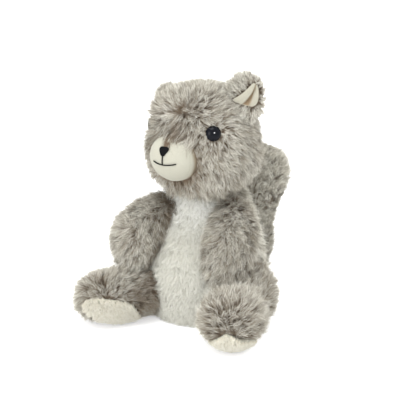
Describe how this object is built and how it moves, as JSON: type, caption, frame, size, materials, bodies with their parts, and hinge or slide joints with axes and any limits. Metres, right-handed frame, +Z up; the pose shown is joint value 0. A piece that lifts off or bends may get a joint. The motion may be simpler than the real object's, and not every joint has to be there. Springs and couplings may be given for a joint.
{
  "type": "plush squirrel",
  "caption": "Seated plush squirrel with long grey fur, a white belly, cream muzzle and soles, domed eyes and a bushy tail raised behind its back.",
  "frame": {"origin": "middle of the flat seat under the torso, on the surface the toy sits on", "axes": "-Y towards the front of the belly, +X towards the toy's left side, +Z up"},
  "size_m": [0.201, 0.2421, 0.2486],
  "materials": {
    "grey_fur": "long pile",
    "white_plush": "short pile",
    "cream_velour": "velour",
    "black_thread": "satin stitch",
    "eye_gloss": "polished",
    "washer": "moulded"
  },
  "bodies": {
    "root": {"torso": "grey_fur", "head": "grey_fur", "ear_left": "grey_fur", "ear_right": "grey_fur", "arm_left": "grey_fur", "arm_right": "grey_fur", "leg_left": "grey_fur", "leg_right": "grey_fur", "tail": "grey_fur", "belly_panel": "white_plush", "muzzle": "cream_velour", "ear_lining_left": "cream_velour", "ear_lining_right": "cream_velour", "sole_left": "cream_velour", "sole_right": "cream_velour", "nose": "black_thread", "mouth_stitch": "black_thread", "eye_left": "eye_gloss", "eye_right": "eye_gloss", "eye_washer_left": "washer", "eye_washer_right": "washer"}
  },
  "joints": []
}
